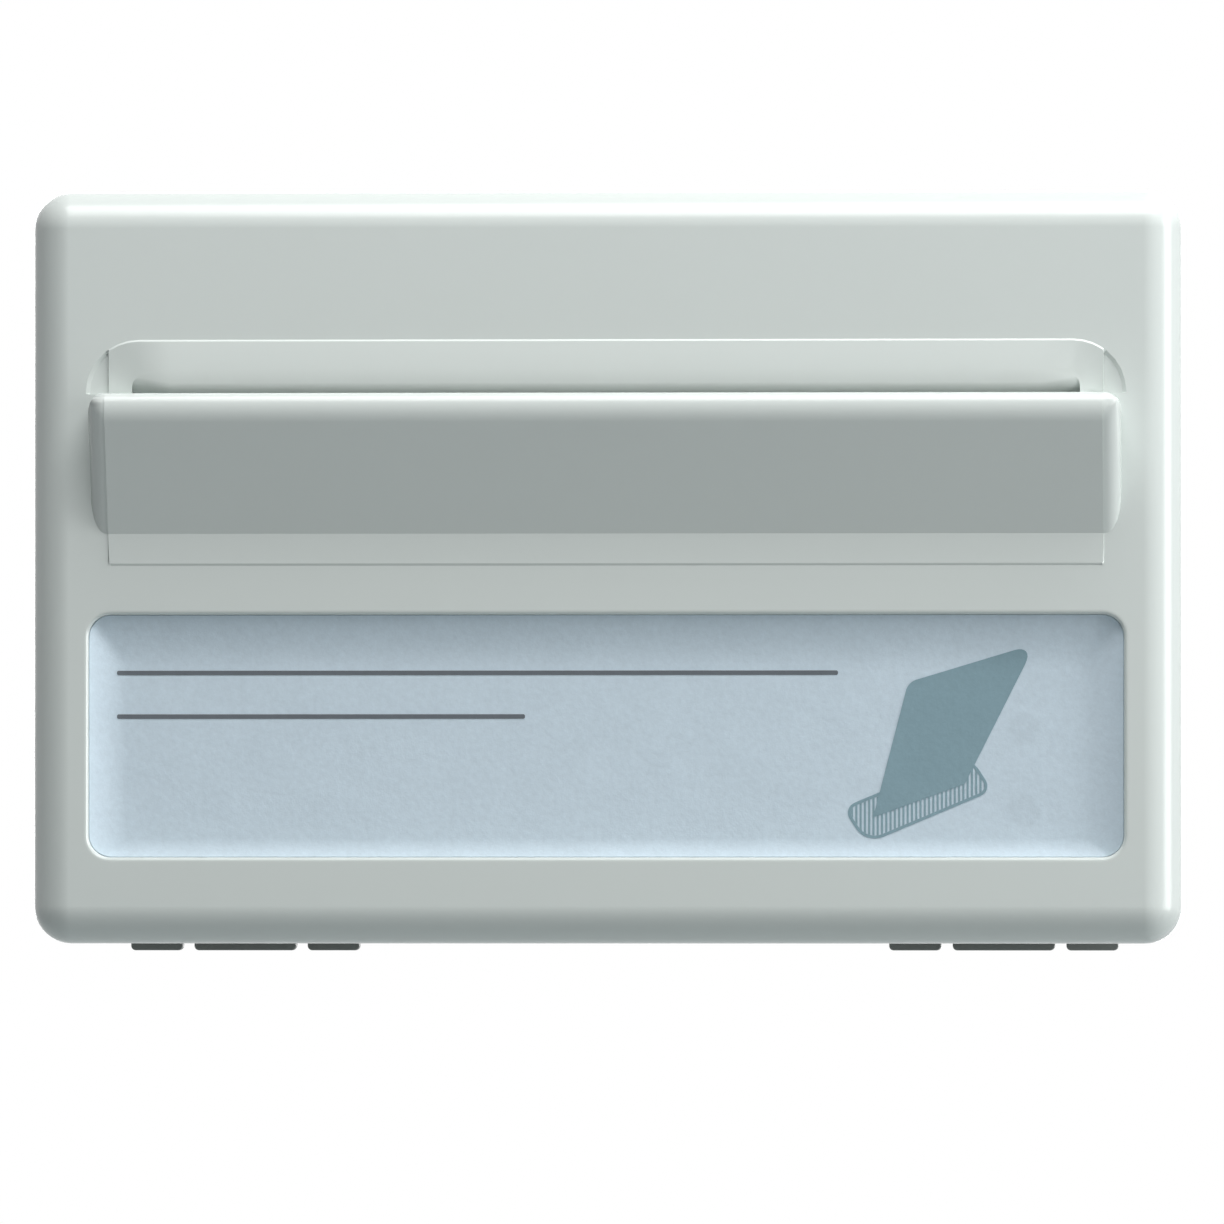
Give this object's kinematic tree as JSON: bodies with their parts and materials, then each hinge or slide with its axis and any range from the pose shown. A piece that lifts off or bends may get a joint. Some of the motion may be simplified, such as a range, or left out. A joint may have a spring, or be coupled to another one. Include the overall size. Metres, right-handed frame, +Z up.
{
  "type": "key card switch",
  "caption": "Wall-frame key card switch: glossy cover with a lipped card slot over a label window; a card tilts a lever that works a changeover switch in the clip-in base.",
  "frame": {"origin": "centre of the seat plane, where the cover's rear rim rests on the wall frame", "axes": "+X to the right seen from the front, +Y into the wall, +Z up"},
  "size_m": [0.0672, 0.0343, 0.0445],
  "materials": {
    "cover_plastic": "glossy white thermoplastic",
    "label_paper": "matt blue-grey printed paper",
    "base_plastic": "satin grey thermoplastic",
    "guide_plastic": "satin light grey thermoplastic",
    "lever_plastic": "slippery dark grey plastic",
    "switch_plastic": "black moulding",
    "plunger_plastic": "red moulding",
    "terminal_brass": "bright brass",
    "contact_silver": "silver contact",
    "bright_steel": "bright drawn steel",
    "zinc_steel": "zinc plated steel",
    "lamp_glass": "clear glass",
    "resistor_body": "lacquered"
  },
  "bodies": {
    "housing": {"front_cover": "cover_plastic", "label_card": "label_paper", "rear_base": "base_plastic", "card_guide": "guide_plastic", "lever_pin": "bright_steel", "lever_spring": "bright_steel", "switch_case": "switch_plastic", "switch_lid": "switch_plastic", "fixed_contacts": "contact_silver", "common_terminal": "terminal_brass", "open_terminal": "terminal_brass", "closed_terminal": "terminal_brass", "switch_screws": "zinc_steel", "terminal_block_1": "terminal_brass", "terminal_block_2": "terminal_brass", "terminal_block_3": "terminal_brass", "terminal_block_4": "terminal_brass", "terminal_screws": "zinc_steel", "common_bar": "terminal_brass", "open_bar": "terminal_brass", "closed_bar": "terminal_brass", "lamp_glass": "lamp_glass", "lamp_wires": "bright_steel", "lamp_resistor": "resistor_body", "resistor_leads": "bright_steel"},
    "lever": {"card_lever": "lever_plastic"},
    "plunger": {"switch_plunger": "plunger_plastic"},
    "blade": {"switch_blade": "terminal_brass", "moving_contact": "contact_silver"}
  },
  "joints": [
    {"name": "lever_swing", "type": "hinge", "parent": "housing", "child": "lever", "pos_m": [0, -0.00258, 0.00373], "axis": [1, 0, 0], "range_deg": [0, 8], "stiffness_Nm_per_rad": 0.004, "springref_deg": -11.46, "deforming": ["lever_spring"]},
    {"name": "plunger_slide", "type": "slide", "parent": "housing", "child": "plunger", "axis": [0, 1, 0], "range_m": [0, 0.00112]},
    {"name": "blade_turn", "type": "hinge", "parent": "housing", "child": "blade", "pos_m": [-0.0095, 0.0069, -0.00427], "axis": [0, 0, 1], "range_deg": [0, 6.8]}
  ],
  "couplings": [
    {"joint": "plunger_slide", "follows": "lever_swing", "m_per_rad": 0.008},
    {"joint": "blade_turn", "follows": "lever_swing", "ratio": 0.8421}
  ]
}
